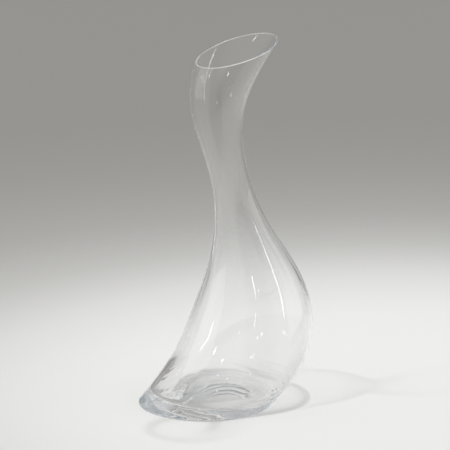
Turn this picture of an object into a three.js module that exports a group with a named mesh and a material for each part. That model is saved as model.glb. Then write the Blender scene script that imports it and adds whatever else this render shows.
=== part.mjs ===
// A wine decanter blown from one piece of clear glass, standing on its own flat foot.
//
// Its form is a bottle pushed over sideways: every horizontal slice is a circle, and the
// centres of those circles follow a curved axis in the XZ plane. The bowl leans over the
// foot towards +X, the neck comes back, and the mouth flares out towards +X again, where a
// slanted cut leaves a pouring lip. The glass is named here in six zones, stacked on level
// joints with no gap: base, bowl, shoulder, neck, throat and mouth.
//
// Millimetres, +Z up. The origin is on the surface that the decanter stands on, under the
// middle of its bounding box. The part is symmetric about the XZ plane.

import * as THREE from 'three';

// ---------------------------------------------------------------- driving dimensions

// The outside of the glass: a slice's height, how far its centre leans towards +X from the
// middle of the foot, and its radius. The last slice lies above the slanted cut.
const SLICES = [
  { height: 0, lean: 0, radius: 60.5 },
  { height: 12, lean: 16.5, radius: 61.5 },
  { height: 36, lean: 40, radius: 61.5 },
  { height: 70, lean: 53.5, radius: 56.5 },
  { height: 105, lean: 56, radius: 45.5 },
  { height: 140, lean: 48.5, radius: 32 },
  { height: 170, lean: 39.5, radius: 22 },
  { height: 200, lean: 30.5, radius: 18 },
  { height: 235, lean: 20, radius: 19.5 },
  { height: 270, lean: 15.5, radius: 24.5 },
  { height: 305, lean: 27, radius: 30.5 },
  { height: 345, lean: 56, radius: 35 },
];

const RIM_HEIGHT = 317; // middle of the slanted rim, below the round of its edge
const RIM_SLOPE = THREE.MathUtils.degToRad(15.5); // how steeply the rim climbs to its tip
const SLANT_START = 262; // below this height the rings of the wall are level

const WALL = 2.2; // of the neck, measured level
const BOWL_WALL = 3.2; // low in the bowl, where more glass gathers
const THIN_HEIGHT = 150; // where the wall has come down to WALL
const RIM_WALL = 1.7; // at the edge of the mouth

const FLOOR_HEIGHT = 6; // inside floor, at the foot of its rounded corner
const CORNER_HEIGHT = 10; // rounded corner between the floor and the wall
const CORNER_RUN = 2.6;
const HEEL_DEPTH = 12; // most extra glass in the sharp corner under the leaning back
const HEEL_HEIGHT = 20; // where that heel of glass is thickest
const HEEL_START = 3; // where its swelling begins, inside the base
const HEEL_FADE = 1.1; // how quickly it thins out again above
const HEEL_FOCUS = 3; // how closely it keeps to the back
const FOOT_EDGE = 1.2; // rounded outer edge of the foot
const PUNT_RADIUS = 35; // hollow pushed up under the foot
const PUNT_DEPTH = 2.6;
const PUNT_OFFSET = 9.5; // the hollow is under the inside floor, not in the middle of the foot

const SHOULDER_START = 84; // joint between bowl and shoulder
const NECK_START = 140; // joint between shoulder and neck
const THROAT_START = 200; // joint between neck and throat

const AROUND = 64; // flats in each ring
const STEP = 9; // height between rings of the wall
const CORNER_RINGS = [0, 0.04, 0.14, 0.32, 0.6]; // as shares of CORNER_HEIGHT
const PUNT_RINGS = 5;
const FOOT_EDGE_RINGS = 3;
const RIM_RINGS = 6;
const CLIMB_PASSES = 60; // repeats that settle the height of a point on a slanted ring

// ---------------------------------------------------------------- the curved outside

// A natural cubic spline through (at[i], value[i]), so that the glass has no kinks.
function spline(at, value) {
  const n = at.length;
  const bend = new Array(n).fill(0);
  const carry = new Array(n).fill(0);
  for (let i = 1; i < n - 1; i++) {
    const share = (at[i] - at[i - 1]) / (at[i + 1] - at[i - 1]);
    const pivot = share * bend[i - 1] + 2;
    const rise = (value[i + 1] - value[i]) / (at[i + 1] - at[i]);
    const fall = (value[i] - value[i - 1]) / (at[i] - at[i - 1]);
    bend[i] = (share - 1) / pivot;
    carry[i] = ((6 * (rise - fall)) / (at[i + 1] - at[i - 1]) - share * carry[i - 1]) / pivot;
  }
  for (let i = n - 2; i >= 0; i--) bend[i] = bend[i] * bend[i + 1] + carry[i];
  return (x) => {
    let i = 0;
    while (i < n - 2 && x > at[i + 1]) i++;
    const gap = at[i + 1] - at[i];
    const b = (x - at[i]) / gap;
    const a = 1 - b;
    const curl = ((a ** 3 - a) * bend[i] + (b ** 3 - b) * bend[i + 1]) * (gap * gap) / 6;
    return a * value[i] + b * value[i + 1] + curl;
  };
}

const heights = SLICES.map((slice) => slice.height);
const leanAt = spline(heights, SLICES.map((slice) => slice.lean));
const radiusAt = spline(heights, SLICES.map((slice) => slice.radius));

// How much of the rim's slant a ring has, from none up to SLANT_START to all of it at the rim.
function slantAt(height) {
  const share = (height - SLANT_START) / (RIM_HEIGHT - SLANT_START);
  return THREE.MathUtils.smoothstep(share, 0, 1);
}

// Where a point of the upright lathe shape, at this radius, height and angle, ends up on the
// leaning one. A slanted ring climbs along the wall, so its height is found by repeating.
function leaned(radius, height, angle) {
  const depth = radiusAt(height) - radius;
  const middle = leanAt(height);
  const slope = Math.tan(RIM_SLOPE) * slantAt(height);
  const reach = (z) => leanAt(z) + (radiusAt(z) - depth) * Math.cos(angle);
  let z = height;
  for (let i = 0; i < CLIMB_PASSES && slope > 0; i++) {
    z = (z + height + slope * (reach(z) - middle)) / 2;
  }
  return new THREE.Vector3(reach(z), (radiusAt(z) - depth) * Math.sin(angle), z);
}

// ---------------------------------------------------------------- profiles

// Extra thickness of the heel at the very back.
function heelAt(height) {
  const rise = (height - HEEL_START) / (HEEL_HEIGHT - HEEL_START);
  return HEEL_DEPTH * (rise * Math.exp(1 - rise)) ** HEEL_FADE;
}

// The share of the heel that a point at this angle has, from all at the back to none in front.
function backward(angle) {
  return ((1 - Math.cos(angle)) / 2) ** HEEL_FOCUS;
}

// Thickness of the wall without its heel, measured level: BOWL_WALL low down, thinning to WALL
// and then to RIM_WALL, and swelling where it meets the floor.
function wallAt(height) {
  const thin = THREE.MathUtils.smoothstep(height, FLOOR_HEIGHT, THIN_HEIGHT);
  const above = THREE.MathUtils.clamp((height - FLOOR_HEIGHT) / CORNER_HEIGHT, 0, 1);
  const corner = CORNER_RUN * (1 - Math.sqrt(1 - (1 - above) ** 2));
  const drawnOut = (WALL - RIM_WALL) * slantAt(height);
  return THREE.MathUtils.lerp(BOWL_WALL, WALL, thin) + corner - drawnOut;
}

// Heights from one joint to the next, evenly spaced by about STEP.
function levels(from, to) {
  const count = Math.max(1, Math.round((to - from) / STEP));
  return Array.from({ length: count + 1 }, (_, i) => from + ((to - from) * i) / count);
}

// A ring of the profile. At the back it is drawn in by the depth of the heel.
function ring(radius, height, heel = 0) {
  const point = new THREE.Vector2(radius, height);
  point.heel = heel;
  return point;
}

const outside = (height) => ring(radiusAt(height), height);
const inside = (height) => ring(radiusAt(height) - wallAt(height), height, heelAt(height));

// A band of the wall between two heights, as a profile that closes on itself.
function bandProfile(outerHeights, innerHeights) {
  const outer = outerHeights.map(outside);
  const inner = innerHeights.map(inside).reverse();
  return [...outer, ...inner, outer[0]];
}

const tubeProfile = (from, to) => bandProfile(levels(from, to), levels(from, to));

// Low in the bowl the inside needs closer rings, to follow the rounded corner.
function bowlProfile() {
  const cornerTop = FLOOR_HEIGHT + CORNER_HEIGHT;
  const corner = CORNER_RINGS.map((share) => FLOOR_HEIGHT + share * CORNER_HEIGHT);
  const outer = levels(FLOOR_HEIGHT, SHOULDER_START);
  return bandProfile(outer, [...corner, ...levels(cornerTop, SHOULDER_START)]);
}

// The mouth's band ends in a half-round edge, as a flame leaves it.
function mouthProfile() {
  const wall = levels(SLANT_START, RIM_HEIGHT);
  const round = wallAt(RIM_HEIGHT) / 2;
  const middle = radiusAt(RIM_HEIGHT) - round;
  const edge = [];
  for (let turn = 1; turn < RIM_RINGS; turn++) {
    const angle = (Math.PI * turn) / RIM_RINGS;
    edge.push(ring(middle + round * Math.cos(angle), RIM_HEIGHT + round * Math.sin(angle)));
  }
  const outer = wall.map(outside);
  const inner = wall.map(inside).reverse();
  return [...outer, ...edge, ...inner, outer[0]];
}

// The solid base: the hollow punt, the flat ring it stands on, the rounded edge, the side and
// the flat top, from the axis round to the axis again.
function baseProfile() {
  const profile = [];
  for (let i = 0; i <= PUNT_RINGS; i++) {
    const across = i / PUNT_RINGS;
    profile.push(ring(PUNT_RADIUS * across, PUNT_DEPTH * (1 - across * across)));
  }
  for (let turn = 0; turn <= FOOT_EDGE_RINGS; turn++) {
    const angle = ((Math.PI / 2) * turn) / FOOT_EDGE_RINGS;
    const height = FOOT_EDGE * (1 - Math.cos(angle));
    profile.push(ring(radiusAt(height) - FOOT_EDGE * (1 - Math.sin(angle)), height));
  }
  profile.push(outside((FOOT_EDGE + FLOOR_HEIGHT) / 2), outside(FLOOR_HEIGHT), inside(FLOOR_HEIGHT));
  profile.push(ring(0, FLOOR_HEIGHT));
  return profile;
}

// ---------------------------------------------------------------- solids

const isPunt = (point) => point.x <= PUNT_RADIUS && point.y <= PUNT_DEPTH;

// A ring of the hollow under the foot stays upright, and is only moved to its own middle.
function offset(radius, height, angle) {
  return new THREE.Vector3(PUNT_OFFSET + radius * Math.cos(angle), radius * Math.sin(angle), height);
}

// Turns a profile about the upright axis and leans every ring of it over.
function blown(profile) {
  const geometry = new THREE.LatheGeometry(profile, AROUND);
  const position = geometry.getAttribute('position');
  for (let i = 0; i < position.count; i++) {
    const lathed = profile[i % profile.length];
    const turn = Math.floor(i / profile.length) % AROUND;
    const angle = (2 * Math.PI * turn) / AROUND;
    const place = isPunt(lathed) ? offset : leaned;
    const point = place(lathed.x - lathed.heel * backward(angle), lathed.y, angle);
    position.setXYZ(i, point.x, point.y, point.z);
  }
  geometry.computeVertexNormals();
  return geometry;
}

const clearGlass = new THREE.MeshStandardMaterial({
  color: 0xe9efec,
  roughness: 0.02,
  metalness: 0,
  transparent: true,
  opacity: 0.35,
});

const zones = {
  base: baseProfile(),
  bowl: bowlProfile(),
  shoulder: tubeProfile(SHOULDER_START, NECK_START),
  neck: tubeProfile(NECK_START, THROAT_START),
  throat: tubeProfile(THROAT_START, SLANT_START),
  mouth: mouthProfile(),
};

const decanter = new THREE.Group();
for (const [name, profile] of Object.entries(zones)) {
  const zone = new THREE.Mesh(blown(profile), clearGlass);
  zone.name = name;
  decanter.add(zone);
}

// The foot's middle is at x = 0 so far. The bounding box goes over the origin instead.
const box = new THREE.Box3().setFromObject(decanter);
decanter.position.x = -(box.min.x + box.max.x) / 2;

export default decanter;
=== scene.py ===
"""Looks for the wine decanter: one continuous piece of clear blown glass on a pale floor.

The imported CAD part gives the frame. Its base, bowl, shoulder, neck, throat and mouth are zones
of one glass wall, so one fine closed mesh stands for all of them. That mesh is lofted through the
same slices as the CAD part. It adds the round of the lip, the hollow's uneven edge and the uneven
wall that blowing leaves.
"""

import math

import bpy
import numpy as np
from mathutils import Matrix, Vector


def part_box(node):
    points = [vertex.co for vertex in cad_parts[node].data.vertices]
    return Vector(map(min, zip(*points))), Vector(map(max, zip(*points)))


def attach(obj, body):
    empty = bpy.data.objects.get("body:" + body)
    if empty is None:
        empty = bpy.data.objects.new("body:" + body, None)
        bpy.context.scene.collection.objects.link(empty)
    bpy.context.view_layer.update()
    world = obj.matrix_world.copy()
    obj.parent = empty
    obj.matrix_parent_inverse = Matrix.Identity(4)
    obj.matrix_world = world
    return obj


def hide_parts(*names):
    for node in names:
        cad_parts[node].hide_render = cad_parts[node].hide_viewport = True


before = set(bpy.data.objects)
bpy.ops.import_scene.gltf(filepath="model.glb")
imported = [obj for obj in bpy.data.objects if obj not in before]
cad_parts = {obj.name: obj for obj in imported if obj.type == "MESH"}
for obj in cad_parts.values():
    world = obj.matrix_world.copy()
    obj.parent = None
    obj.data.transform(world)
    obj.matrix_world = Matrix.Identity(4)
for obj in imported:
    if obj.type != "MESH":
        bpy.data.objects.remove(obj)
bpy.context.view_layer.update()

MM = 0.001

# ---------------------------------------------------------------- the shape, in millimetres

# A slice's height, how far its centre leans towards +X from the foot's middle, and its radius.
SLICES = [
    (0, 0, 60.5),
    (12, 16.5, 61.5),
    (36, 40, 61.5),
    (70, 53.5, 56.5),
    (105, 56, 45.5),
    (140, 48.5, 32),
    (170, 39.5, 22),
    (200, 30.5, 18),
    (235, 20, 19.5),
    (270, 15.5, 24.5),
    (305, 27, 30.5),
    (345, 56, 35),
]
RIM_HEIGHT = 317  # middle of the slanted rim, below the round of its edge
RIM_SLOPE = math.radians(15.5)
SLANT_START = 262  # below this height the rings of the wall are level

WALL = 2.2
BOWL_WALL = 3.2
THIN_HEIGHT = 150  # where the wall has come down to WALL
RIM_WALL = 1.7

FLOOR_HEIGHT = 6
FLOOR_DIP = 0.6  # how much lower the floor is in the middle
CORNER_HEIGHT = 10  # rounded corner between the floor and the wall
CORNER_RUN = 2.6
HEEL_DEPTH = 12  # most extra glass in the sharp corner under the leaning back
HEEL_HEIGHT = 20  # where that glass is deepest
HEEL_START = 3  # there is none below this height
HEEL_FADE = 1.1  # how sharply it comes and goes with height
HEEL_FOCUS = 3  # how closely that glass keeps to the back
FOOT_EDGE = 1.2  # radius of the foot's round edge
PUNT_RADIUS = 35  # hollow pushed up under the foot
PUNT_DEPTH = 2.6
PUNT_OFFSET = 9.5

LIP_SHARE = 0.98  # a hair lower than a true half round, to stay under the CAD part's tip
HAIR = 0.0003  # share by which the finer mesh is drawn in, to stay inside the CAD part's box

AROUND = 256  # points in each ring
LEAN_PASSES = 60  # rounds of settling a point on the slanted shape

# How many rings each stretch of the outline has, from the middle of the underside, up the outside,
# over the lip and down the inside to the middle of the floor.
PUNT_RINGS = 30
FLAT_RINGS = 6
FOOT_EDGE_RINGS = 7
CHILL_RINGS = 59
OUTSIDE_RINGS = 169
LIP_RINGS = 11
INSIDE_RINGS = 200
CORNER_RINGS = 14
FLOOR_RINGS = 14
CORNER_CROWDING = 1.6  # the corner's rings lie closer together towards the floor

# The unevenness of blown glass. Inside the wall it fades out at the floor and at the rim.
SEED = 7
UNEVEN_RISE = 20  # full depth from this far above the floor
UNEVEN_TOP = 300  # full depth up to this height
DRIFT_LENGTH = 47  # height for each radian of a wave's drift round the wall
SWELL_LENGTH = 31  # height for each radian of its coming and going
SWELL = 0.4  # how much its depth comes and goes
WAVE_SHARES = (0.6, 1.4)  # the least and the most that one wave counts for

# The chill marks run from the foot's edge up to CHILL_TOP.
CHILL_LOW = 6  # full depth from here
CHILL_FADE = 10  # full depth up to here
CHILL_TOP = 24
CHILL_PITCH = 5  # height from one mark to the next
CHILL_DEPTH = 0.5  # half of what a mark cuts into the wall
CHILL_FOCUS = 1.5  # how closely the marks keep to the bulging front
# How far the marks wander up and down, in radians of their pitch, how often round, and from where.
CHILL_WANDER = [(1.5, 2, 0.6), (0.8, 7, 0)]


def natural_spline(at, value):
    """The natural cubic spline through (at, value), as a function of an array."""
    at, value = np.array(at, float), np.array(value, float)
    gap = np.diff(at)
    count = len(at)
    matrix = np.eye(count)
    right = np.zeros(count)
    for i in range(1, count - 1):
        matrix[i, i - 1 : i + 2] = gap[i - 1], 2 * (gap[i - 1] + gap[i]), gap[i]
        right[i] = 6 * ((value[i + 1] - value[i]) / gap[i] - (value[i] - value[i - 1]) / gap[i - 1])
    bend = np.linalg.solve(matrix, right)

    def curve(x):
        i = np.clip(np.searchsorted(at, x) - 1, 0, count - 2)
        b = (x - at[i]) / gap[i]
        a = 1 - b
        curl = ((a**3 - a) * bend[i] + (b**3 - b) * bend[i + 1]) * gap[i] ** 2 / 6
        return a * value[i] + b * value[i + 1] + curl

    return curve


heights, leans, radii = zip(*SLICES)
lean_at = natural_spline(heights, leans)
radius_at = natural_spline(heights, radii)


def smoothstep(x, low, high):
    """Rises gently from 0 at low to 1 at high."""
    t = np.clip((x - low) / (high - low), 0, 1)
    return t * t * (3 - 2 * t)


def heel_at(height, angle):
    """Extra thickness of the heel, which is all at the back."""
    rise = np.maximum((height - HEEL_START) / (HEEL_HEIGHT - HEEL_START), 0)
    backward = ((1 - np.cos(angle)) / 2) ** HEEL_FOCUS
    return HEEL_DEPTH * (rise * np.exp(1 - rise)) ** HEEL_FADE * backward


def wall_at(height):
    """Thickness of the wall, measured level, without the heel."""
    thin = smoothstep(height, FLOOR_HEIGHT, THIN_HEIGHT)
    above = np.clip((height - FLOOR_HEIGHT) / CORNER_HEIGHT, 0, 1)
    corner = CORNER_RUN * (1 - np.sqrt(1 - (1 - above) ** 2))
    drawn_out = (WALL - RIM_WALL) * smoothstep(height, SLANT_START, RIM_HEIGHT)
    return BOWL_WALL + (WALL - BOWL_WALL) * thin + corner - drawn_out


def leaned(radius, height, angle):
    """Where the points of an upright ring end up on the leaning and slanted shape."""
    depth = radius_at(height) - radius
    slope = math.tan(RIM_SLOPE) * smoothstep(height, SLANT_START, RIM_HEIGHT)
    middle = lean_at(height)
    z = height + 0 * angle
    for _ in range(LEAN_PASSES):
        reach = lean_at(z) + (radius_at(z) - depth) * np.cos(angle)
        z = (z + height + slope * (reach - middle)) / 2
    across = radius_at(z) - depth
    return np.stack([lean_at(z) + across * np.cos(angle), across * np.sin(angle), z], -1)


# ---------------------------------------------------------------- unevenness of blown glass

def waves(counts, depth, drift):
    """Seeded waves as a function of (height, angle). Each count is one wave's crests round the wall."""
    parts = [
        (count, *chance.uniform(0, 2 * math.pi, 3), chance.uniform(*WAVE_SHARES)) for count in counts
    ]

    def surface(height, angle):
        total = 0 * angle
        for count, start, wander, pulse, share in parts:
            turn = start + drift * math.sin(height / DRIFT_LENGTH + wander)
            swell = 1 - SWELL + SWELL * math.sin(height / SWELL_LENGTH + pulse)
            total = total + share * swell * np.cos(count * angle + turn)
        return total * depth / math.sqrt(len(parts))

    return surface


chance = np.random.default_rng(SEED)
slow_waves = waves(counts=(2, 3, 4, 5), depth=0.2, drift=0.8)
streaks = waves(counts=(9, 11, 14, 17, 21, 26), depth=0.07, drift=1.6)
foot_waves = waves(counts=(3, 5, 8, 13, 19), depth=0.35, drift=0.5)


def chill_marks(height, angle):
    """Ripples round the foot of the bulging front, where the hot glass first met the mould."""
    lift = smoothstep(height, FOOT_EDGE, CHILL_LOW) * (1 - smoothstep(height, CHILL_FADE, CHILL_TOP))
    forward = ((1 + np.cos(angle)) / 2) ** CHILL_FOCUS
    turn = 2 * math.pi * height / CHILL_PITCH
    for reach, times, start in CHILL_WANDER:
        turn = turn + reach * np.sin(times * angle + start)
    return CHILL_DEPTH * lift * forward * (1 + np.sin(turn))


# ---------------------------------------------------------------- mesh

def steps(start, end, count):
    """The ends of count even steps from start to end."""
    return np.linspace(start, end, count + 1)[1:]


def level_ring(middle, radius, height, angle):
    """A level ring round a middle that lies off the foot's middle along X."""
    return np.stack([middle + radius * np.cos(angle), radius * np.sin(angle), height + 0 * angle], -1)


def inside_ring(height, angle):
    """A ring of the wall's inside, with the unevenness of the glass."""
    above_floor = smoothstep(height, FLOOR_HEIGHT, FLOOR_HEIGHT + UNEVEN_RISE)
    below_rim = 1 - smoothstep(height, UNEVEN_TOP, RIM_HEIGHT)
    uneven = (slow_waves(height, angle) + streaks(height, angle)) * (above_floor * below_rim)
    wall = wall_at(height) + heel_at(height, angle) + uneven
    return leaned(radius_at(height) - wall, height, angle)


def foot_rings(angle):
    """Under the foot: the hollow punt, the flat that the foot stands on, and its round edge."""
    ripple = foot_waves(0, angle)
    for share in steps(0, 1, PUNT_RINGS):
        radius = PUNT_RADIUS * share + ripple * share**3
        yield level_ring(PUNT_OFFSET, radius, PUNT_DEPTH * (1 - share**4), angle)
    flat = radius_at(0.0) - FOOT_EDGE
    punt = PUNT_RADIUS + ripple
    for share in steps(0, 1, FLAT_RINGS):
        yield level_ring(PUNT_OFFSET * (1 - share), punt + (flat - punt) * share, 0, angle)
    for turn in steps(0, math.pi / 2, FOOT_EDGE_RINGS):
        height = FOOT_EDGE * (1 - math.cos(turn))
        yield leaned(radius_at(height) - FOOT_EDGE * (1 - math.sin(turn)), height, angle)


def wall_rings(angle):
    """Up the outside, over the lip and down the inside to the foot of the corner."""
    for height in steps(FOOT_EDGE, CHILL_TOP, CHILL_RINGS):
        yield leaned(radius_at(height) - chill_marks(height, angle), height, angle)
    for height in steps(CHILL_TOP, RIM_HEIGHT, OUTSIDE_RINGS):
        yield leaned(radius_at(height), height, angle)
    lip = wall_at(RIM_HEIGHT) / 2
    middle = radius_at(RIM_HEIGHT) - lip
    for turn in steps(0, math.pi, LIP_RINGS + 1)[:-1]:
        height = RIM_HEIGHT + LIP_SHARE * lip * math.sin(turn)
        yield leaned(middle + lip * math.cos(turn), height, angle)
    for height in np.linspace(RIM_HEIGHT, FLOOR_HEIGHT + CORNER_HEIGHT, INSIDE_RINGS):
        yield inside_ring(height, angle)
    for share in steps(0, 1, CORNER_RINGS):
        yield inside_ring(FLOOR_HEIGHT + CORNER_HEIGHT * (1 - share) ** CORNER_CROWDING, angle)


def floor_rings(angle):
    """In across the inside floor, which is a shade lower in the middle."""
    edge = radius_at(FLOOR_HEIGHT) - wall_at(FLOOR_HEIGHT) - heel_at(FLOOR_HEIGHT, angle)
    middle = lean_at(FLOOR_HEIGHT)
    for share in steps(1, 0, FLOOR_RINGS + 1)[:-1]:
        height = FLOOR_HEIGHT - FLOOR_DIP * (1 - share**2)
        yield level_ring(middle, edge * share, height, angle)


def decanter_points():
    """The middle of the underside, all the rings and the middle of the floor, in millimetres."""
    angle = np.linspace(0, 2 * math.pi, AROUND, endpoint=False)
    rings = [*foot_rings(angle), *wall_rings(angle), *floor_rings(angle)]
    start = np.array([[PUNT_OFFSET, 0, PUNT_DEPTH]])
    end = np.array([[lean_at(FLOOR_HEIGHT), 0, FLOOR_HEIGHT - FLOOR_DIP]])
    points = np.concatenate([start, *rings, end])

    # The CAD part is centred over the origin, so its bowl says where the foot's middle is.
    points[:, 0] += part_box("bowl")[0].x / MM - (lean_at(FLOOR_HEIGHT) - radius_at(FLOOR_HEIGHT))
    points[:, :2] *= 1 - HAIR
    return points


def build_glass():
    """The decanter as one closed mesh: quads between the rings, and a fan at each end."""
    points = decanter_points()
    first, last = 1, len(points) - 1
    final = last - AROUND
    faces = []
    for i in range(AROUND):
        j = (i + 1) % AROUND
        faces.append((0, first + j, first + i))
        for ring in range(first, final, AROUND):
            faces.append((ring + i, ring + j, ring + AROUND + j, ring + AROUND + i))
        faces.append((final + i, final + j, last))
    mesh = bpy.data.meshes.new("decanter_glass")
    mesh.from_pydata((points * MM).tolist(), [], faces)
    mesh.update()
    mesh.polygons.foreach_set("use_smooth", [True] * len(mesh.polygons))
    piece = bpy.data.objects.new("decanter_glass", mesh)
    bpy.context.scene.collection.objects.link(piece)
    return piece


# ---------------------------------------------------------------- glass

GLASS_TINT = (0.68, 0.74, 0.8, 1)
TINT_DENSITY = 1.8
PEEL_SCALE = 95
PEEL_STRETCH = (1, 1, 0.25)
PEEL_DEPTH = 0.00006  # metres
CLEAR_SHADE = (0.995, 0.995, 0.996, 1)  # what is left of light that crosses the wall squarely
EDGE_SHADE = (0.02, 0.02, 0.02, 1)  # what is left of light that meets the wall edge on
EDGE_SHARPNESS = 5  # how narrow the dark edge is


def clear_glass():
    """Clear glass with a tint in its depth, and a see-through stand-in for shadows."""
    material = bpy.data.materials.new("clear_glass")
    material.use_nodes = True
    nodes, links = material.node_tree.nodes, material.node_tree.links
    shader = nodes["Principled BSDF"]
    shader.inputs["Base Color"].default_value = (1, 1, 1, 1)
    shader.inputs["Roughness"].default_value = 0.0
    shader.inputs["IOR"].default_value = 1.5
    shader.inputs["Transmission Weight"].default_value = 1

    # A faint orange peel, drawn out along the height.
    place = nodes.new("ShaderNodeTexCoord")
    stretch = nodes.new("ShaderNodeMapping")
    stretch.inputs["Scale"].default_value = PEEL_STRETCH
    links.new(place.outputs["Object"], stretch.inputs["Vector"])
    peel = nodes.new("ShaderNodeTexNoise")
    peel.inputs["Scale"].default_value = PEEL_SCALE
    peel.inputs["Detail"].default_value = 1.5
    links.new(stretch.outputs["Vector"], peel.inputs["Vector"])
    bump = nodes.new("ShaderNodeBump")
    bump.inputs["Strength"].default_value = 1
    bump.inputs["Distance"].default_value = PEEL_DEPTH
    links.new(peel.outputs["Fac"], bump.inputs["Height"])
    links.new(bump.outputs["Normal"], shader.inputs["Normal"])

    # Shadow and diffuse rays go straight through the glass, less where they meet it edge on.
    edge_on = nodes.new("ShaderNodeLayerWeight")
    edge_on.inputs["Blend"].default_value = 0.5
    steep = nodes.new("ShaderNodeMath")
    steep.operation = "POWER"
    steep.inputs[1].default_value = EDGE_SHARPNESS
    links.new(edge_on.outputs["Facing"], steep.inputs[0])
    shade = nodes.new("ShaderNodeMix")
    shade.data_type = "RGBA"
    shade.inputs["A"].default_value = CLEAR_SHADE
    shade.inputs["B"].default_value = EDGE_SHADE
    links.new(steep.outputs["Value"], shade.inputs["Factor"])
    through = nodes.new("ShaderNodeBsdfTransparent")
    links.new(shade.outputs["Result"], through.inputs["Color"])

    path = nodes.new("ShaderNodeLightPath")
    surface = shader.outputs["BSDF"]
    for ray in ("Is Shadow Ray", "Is Diffuse Ray"):
        mix = nodes.new("ShaderNodeMixShader")
        links.new(path.outputs[ray], mix.inputs["Fac"])
        links.new(surface, mix.inputs[1])
        links.new(through.outputs["BSDF"], mix.inputs[2])
        surface = mix.outputs["Shader"]
    links.new(surface, nodes["Material Output"].inputs["Surface"])

    body = nodes.new("ShaderNodeVolumeAbsorption")
    body.inputs["Color"].default_value = GLASS_TINT
    body.inputs["Density"].default_value = TINT_DENSITY
    links.new(body.outputs["Volume"], nodes["Material Output"].inputs["Volume"])
    return material


glass = build_glass()
glass.data.materials.append(clear_glass())
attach(glass, "root")
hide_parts("base", "bowl", "shoulder", "neck", "throat", "mouth")


# ---------------------------------------------------------------- floor, light and camera

# From here on, places and sizes are in metres.
FLOOR_RADIUS = 2.2
FLOOR_PLACE = (0, 0, -0.0002)  # a hair under the foot, so that the two faces don't coincide
FLOOR_COLOUR = (0.81, 0.81, 0.8, 1)
SWEEP_CENTRE = (0.15, -0.117, 0)  # the lit part of the floor is a little to the camera's right
SWEEP_REACH = 1.3
# How far out, as a share of SWEEP_REACH, and how much of the floor has faded into the background.
SWEEP_FADE = [(0.22, 0), (0.34, 0.25), (0.43, 0.58), (0.55, 0.8), (0.75, 0.94), (1.0, 1)]

BACKWARD = (0.616, 0.788, 0)  # level, from the camera to the object
DARK_SIDE = (-0.42, -0.906, 0)  # level, towards the unlit part of the room around the camera
UPWARD = (0, 0, 1)
SIDE_LIGHT = (0.5, 0.5, 0.49, 1)
DARK_LIGHT = (0.07, 0.07, 0.07, 1)
BACK_LIGHT = (0.30, 0.295, 0.28, 1)
TOP_LIGHT = (0.66, 0.66, 0.66, 1)

LAMP_TARGET = Vector((0, 0, 0.1))  # where the lamps face
BOX_BREADTH = 1.3
BOX_POWER = 5.0

CAMERA_AZIMUTH = math.radians(-38)
CAMERA_DISTANCE = 2.4
CAMERA_SHIFT = -0.0102  # along X
CAMERA_HEIGHT = 0.758
CAMERA_TARGET = Vector((-0.0049, -0.0041, 0.1622))
SENSOR_WIDTH = 36  # millimetres, as is the lens
LENS = 221

GLASS_BOUNCES = 256  # light is led a long way inside the wall and the foot before it comes out
CLEAR_BOUNCES = 24  # see-through faces that a shadow or diffuse ray may cross


def build_floor():
    """A round pale floor that fades into the background away from the object."""
    bpy.ops.mesh.primitive_circle_add(
        vertices=128, radius=FLOOR_RADIUS, fill_type="NGON", location=FLOOR_PLACE
    )
    floor = bpy.context.object
    floor.name = "floor"
    material = bpy.data.materials.new("floor_paper")
    material.use_nodes = True
    nodes, links = material.node_tree.nodes, material.node_tree.links
    shader = nodes["Principled BSDF"]
    shader.inputs["Base Color"].default_value = FLOOR_COLOUR
    shader.inputs["Roughness"].default_value = 0.9
    shader.inputs["Specular IOR Level"].default_value = 0.1
    place = nodes.new("ShaderNodeTexCoord")
    distance = nodes.new("ShaderNodeVectorMath")
    distance.operation = "DISTANCE"
    distance.inputs[1].default_value = SWEEP_CENTRE
    links.new(place.outputs["Object"], distance.inputs[0])
    share = nodes.new("ShaderNodeMath")
    share.operation = "DIVIDE"
    share.inputs[1].default_value = SWEEP_REACH
    links.new(distance.outputs["Value"], share.inputs[0])
    fade = nodes.new("ShaderNodeValToRGB")
    fade.color_ramp.interpolation = "B_SPLINE"
    stops = fade.color_ramp.elements
    while len(stops) < len(SWEEP_FADE):
        stops.new(0.5)
    for stop, (position, value) in zip(stops, SWEEP_FADE):
        stop.position = position
        stop.color = (value, value, value, 1)
    links.new(share.outputs["Value"], fade.inputs["Fac"])
    clear = nodes.new("ShaderNodeBsdfTransparent")
    mix = nodes.new("ShaderNodeMixShader")
    links.new(fade.outputs["Color"], mix.inputs["Fac"])
    links.new(shader.outputs["BSDF"], mix.inputs[1])
    links.new(clear.outputs["BSDF"], mix.inputs[2])
    links.new(mix.outputs["Shader"], nodes["Material Output"].inputs["Surface"])
    floor.data.materials.append(material)


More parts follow.
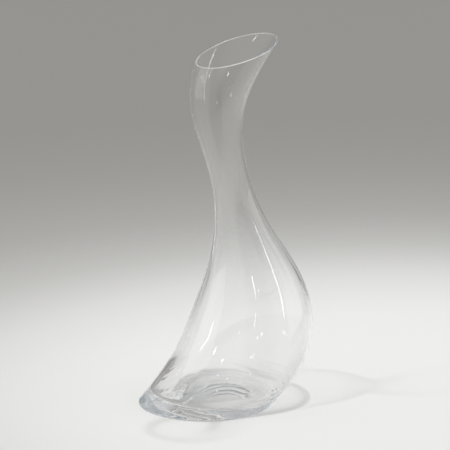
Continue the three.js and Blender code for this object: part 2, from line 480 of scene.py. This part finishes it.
def build_world():
    """A soft dome: grey behind the object, dark round the camera, paler at both sides and overhead."""
    world = bpy.data.worlds.new("studio")
    bpy.context.scene.world = world
    world.use_nodes = True
    nodes, links = world.node_tree.nodes, world.node_tree.links
    place = nodes.new("ShaderNodeTexCoord")

    def blended(first, second, direction, start, end):
        """Goes from the first light to the second as the view turns towards that direction.

        Start and end are cosines of the angle between the view and the direction.
        """
        along = nodes.new("ShaderNodeVectorMath")
        along.operation = "DOT_PRODUCT"
        along.inputs[1].default_value = direction
        links.new(place.outputs["Generated"], along.inputs[0])
        share = nodes.new("ShaderNodeMapRange")
        share.interpolation_type = "SMOOTHSTEP"
        share.inputs["From Min"].default_value = start
        share.inputs["From Max"].default_value = end
        links.new(along.outputs["Value"], share.inputs["Value"])
        mix = nodes.new("ShaderNodeMix")
        mix.data_type = "RGBA"
        links.new(share.outputs["Result"], mix.inputs["Factor"])
        if isinstance(first, tuple):
            mix.inputs["A"].default_value = first
        else:
            links.new(first, mix.inputs["A"])
        mix.inputs["B"].default_value = second
        return mix.outputs["Result"]

    dome = blended(SIDE_LIGHT, DARK_LIGHT, DARK_SIDE, start=0.75, end=0.95)
    dome = blended(dome, BACK_LIGHT, BACKWARD, start=0.2, end=0.65)
    dome = blended(dome, TOP_LIGHT, UPWARD, start=0.25, end=0.9)
    links.new(dome, nodes["Background"].inputs["Color"])


def lamp(name, start, end, breadth, power, glints=True):
    """A flat lamp between two points, facing the object. Without glints the glass doesn't mirror it."""
    start, end = Vector(start), Vector(end)
    data = bpy.data.lights.new(name, "AREA")
    data.shape = "RECTANGLE"
    data.size = (end - start).length
    data.size_y = breadth
    data.energy = power
    piece = bpy.data.objects.new(name, data)
    piece.location = (start + end) / 2
    along = (end - start).normalized()
    away = piece.location - LAMP_TARGET
    away = (away - away.dot(along) * along).normalized()
    turned = Matrix((along, away.cross(along), away)).transposed().to_4x4()
    piece.matrix_world = Matrix.Translation(piece.location) @ turned
    piece.visible_camera = False
    piece.visible_glossy = glints
    bpy.context.scene.collection.objects.link(piece)
    return piece


def softbox(name, start, end):
    """A broad lamp that the glass mirrors, but that isn't seen behind it."""
    piece = lamp(name, start, end, BOX_BREADTH, BOX_POWER)
    piece.visible_transmission = False


def build_lights():
    """Softboxes at both sides, two lamps for shadows, strips for streaks and spots for glints."""
    softbox("right_box", (1.1, -1.75, 0.7), (1.8, -0.5, 0.7))
    softbox("left_box", (-1.8, 0.5, 0.7), (-1.1, 1.75, 0.7))
    lamp("key", (0.36, 0.245, 1.67), (0.41, 0.245, 1.67), 0.05, 9.0, glints=False)
    lamp("left", (-0.76, 0.345, 1.49), (-0.7, 0.345, 1.49), 0.06, 4.5, glints=False)
    lamp("left_strip", (-1.13, 0.98, 0.676), (-1.34, 0.71, 0.627), 0.02, 0.25)
    lamp("right_strip", (0.7, -1.43, 0.44), (0.66, -1.43, 0.72), 0.05, 0.4)
    lamp("front_spot", (-0.66, -1.39, 0.63), (-0.64, -1.39, 0.65), 0.02, 0.03)
    lamp("left_spot", (-1.43, 0.2, 0.77), (-1.43, 0.27, 0.88), 0.04, 0.3)
    lamp("lip_spot", (-1.438, -0.3, 0.97), (-1.438, -0.21, 1.06), 0.04, 0.3)
    lamp("neck_spot", (-0.96, -1.3, 0.53), (-0.9, -1.3, 0.63), 0.04, 0.3)


def build_camera():
    """The camera at the photo's viewing angle."""
    data = bpy.data.cameras.new("camera")
    data.sensor_width = SENSOR_WIDTH
    data.lens = LENS
    camera = bpy.data.objects.new("camera", data)
    camera.location = (
        CAMERA_DISTANCE * math.sin(CAMERA_AZIMUTH) + CAMERA_SHIFT,
        -CAMERA_DISTANCE * math.cos(CAMERA_AZIMUTH),
        CAMERA_HEIGHT,
    )
    camera.rotation_mode = "QUATERNION"
    camera.rotation_quaternion = (CAMERA_TARGET - camera.location).to_track_quat("-Z", "Y")
    bpy.context.scene.collection.objects.link(camera)
    bpy.context.scene.camera = camera


build_floor()
build_world()
build_lights()
build_camera()
scene = bpy.context.scene
scene.view_settings.view_transform = "Standard"
scene.cycles.max_bounces = GLASS_BOUNCES
scene.cycles.transmission_bounces = GLASS_BOUNCES
scene.cycles.glossy_bounces = GLASS_BOUNCES
scene.cycles.transparent_max_bounces = CLEAR_BOUNCES
